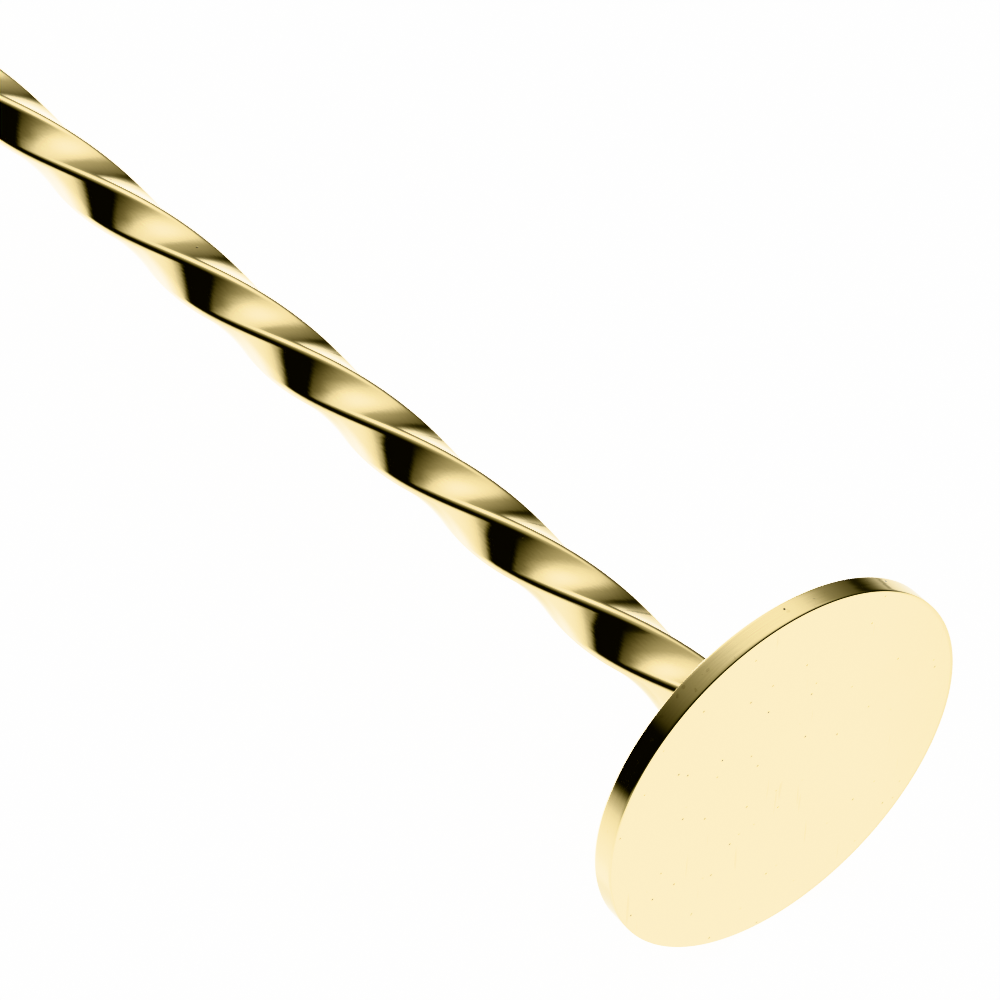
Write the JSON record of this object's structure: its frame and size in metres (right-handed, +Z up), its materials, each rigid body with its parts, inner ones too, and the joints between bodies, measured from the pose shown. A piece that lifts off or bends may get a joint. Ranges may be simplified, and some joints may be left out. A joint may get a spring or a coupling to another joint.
{
  "type": "bar spoon",
  "caption": "Polished pale-gold bar spoon: left-hand twisted square stem with a teardrop bowl at one end and a thin flat round masher disc at the other.",
  "frame": {"origin": "middle of the spoon's box at the surface it lies on, resting on the disc's rim and the underside of the bowl", "axes": "+X along the spoon towards the disc, +Z up and out of the bowl's opening, +Y to the left when looking along +X"},
  "size_m": [0.2804, 0.028, 0.028],
  "materials": {
    "gold_stem": "mirror-polished pale-gold plating on stainless steel",
    "gold_disc": "mirror-polished pale-gold plating on stainless steel, with fine hairline scratches",
    "gold_bowl": "mirror-polished pale-gold plating on stainless steel",
    "gold_braze": "satin-bright plated filler metal"
  },
  "bodies": {
    "root": {"twisted_stem": "gold_stem", "masher_disc": "gold_disc", "spoon_bowl": "gold_bowl", "disc_braze": "gold_braze", "neck_braze": "gold_braze"}
  },
  "joints": []
}
